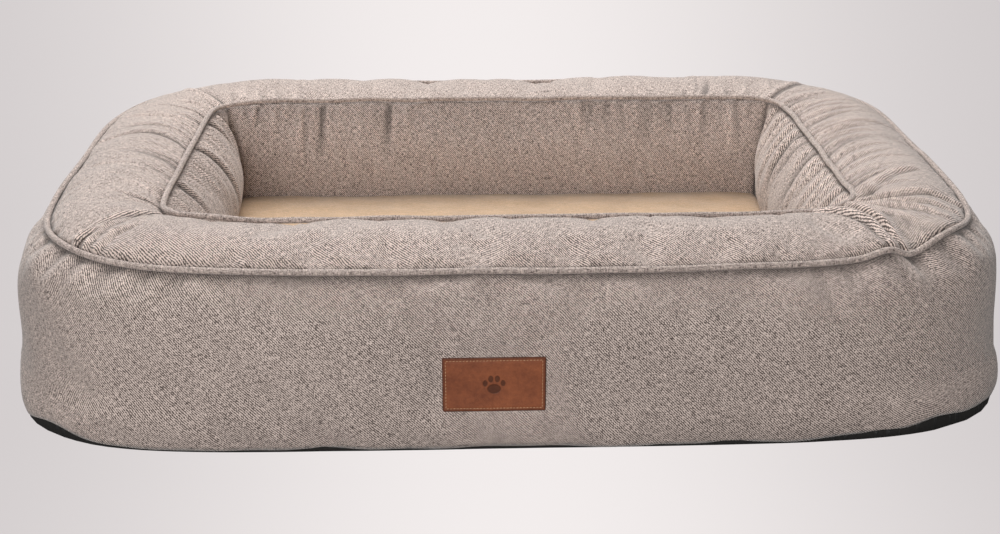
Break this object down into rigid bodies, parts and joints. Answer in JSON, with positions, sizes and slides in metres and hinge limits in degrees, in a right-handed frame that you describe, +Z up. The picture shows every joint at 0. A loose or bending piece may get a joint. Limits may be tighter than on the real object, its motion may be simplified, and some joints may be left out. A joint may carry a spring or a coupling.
{
  "type": "pet cushion bed",
  "caption": "Rectangular pet bed: a plush mattress lifts out of a well of padded bolsters with piped seams, over an anti-slip base.",
  "frame": {"origin": "centre of the underside, on the floor", "axes": "+X to the right along the length, -Y towards the labelled front wall, +Z up"},
  "size_m": [1, 0.7266, 0.19],
  "materials": {
    "cover_twill": "matte",
    "plush": "matte",
    "mattress_cloth": "matte",
    "base_cloth": "matte",
    "fibre_fill": "matte",
    "support_foam": "matte",
    "memory_foam": "matte",
    "label_leather": "satin",
    "label_thread": "matte",
    "zip_tape": "matte",
    "zip_coil": "satin",
    "zip_metal": "satin"
  },
  "bodies": {
    "cover": {"outer_wall": "cover_twill", "outer_wall_back": "cover_twill", "outer_piping": "cover_twill", "inner_piping": "cover_twill", "base_panel": "base_cloth", "label_patch": "label_leather", "label_stitching": "label_thread", "top_panel_front": "cover_twill", "inner_wall_front": "cover_twill", "bolster_fill_front": "fibre_fill", "top_panel_right": "cover_twill", "inner_wall_right": "cover_twill", "bolster_fill_right": "fibre_fill", "top_panel_back": "cover_twill", "inner_wall_back": "cover_twill", "bolster_fill_back": "fibre_fill", "top_panel_left": "cover_twill", "inner_wall_left": "cover_twill", "bolster_fill_left": "fibre_fill", "cover_zip_tape_upper": "zip_tape", "cover_zip_teeth_upper": "zip_coil", "cover_zip_tape_lower": "zip_tape", "cover_zip_teeth_lower": "zip_coil", "cover_zip_top_stop": "zip_metal", "cover_zip_bottom_stop": "zip_metal"},
    "mattress": {"mattress_top": "plush", "mattress_band": "mattress_cloth", "mattress_bottom": "mattress_cloth", "mattress_foam_base": "support_foam", "mattress_memory_foam": "memory_foam", "mattress_zip_tape_upper": "zip_tape", "mattress_zip_teeth_upper": "zip_coil", "mattress_zip_tape_lower": "zip_tape", "mattress_zip_teeth_lower": "zip_coil", "mattress_zip_top_stop": "zip_metal", "mattress_zip_bottom_stop": "zip_metal"},
    "cover_zip_slider": {"cover_zip_slider": "zip_metal"},
    "cover_zip_pull": {"cover_zip_pull": "zip_metal"},
    "mattress_zip_slider": {"mattress_zip_slider": "zip_metal"}
  },
  "joints": [
    {"name": "mattress_lift", "type": "slide", "parent": "cover", "child": "mattress", "axis": [0, 0, 1], "range_m": [0, 0.26]},
    {"name": "cover_zip_slide", "type": "slide", "parent": "cover", "child": "cover_zip_slider", "axis": [1, 0, 0], "range_m": [-0.58, 0]},
    {"name": "cover_zip_pull", "type": "hinge", "parent": "cover_zip_slider", "child": "cover_zip_pull", "pos_m": [0.29, 0.3619, 0.042], "axis": [0, 0, -1], "range_deg": [0, 178]},
    {"name": "mattress_zip_slide", "type": "slide", "parent": "mattress", "child": "mattress_zip_slider", "axis": [1, 0, 0], "range_m": [-0.394, 0]}
  ]
}
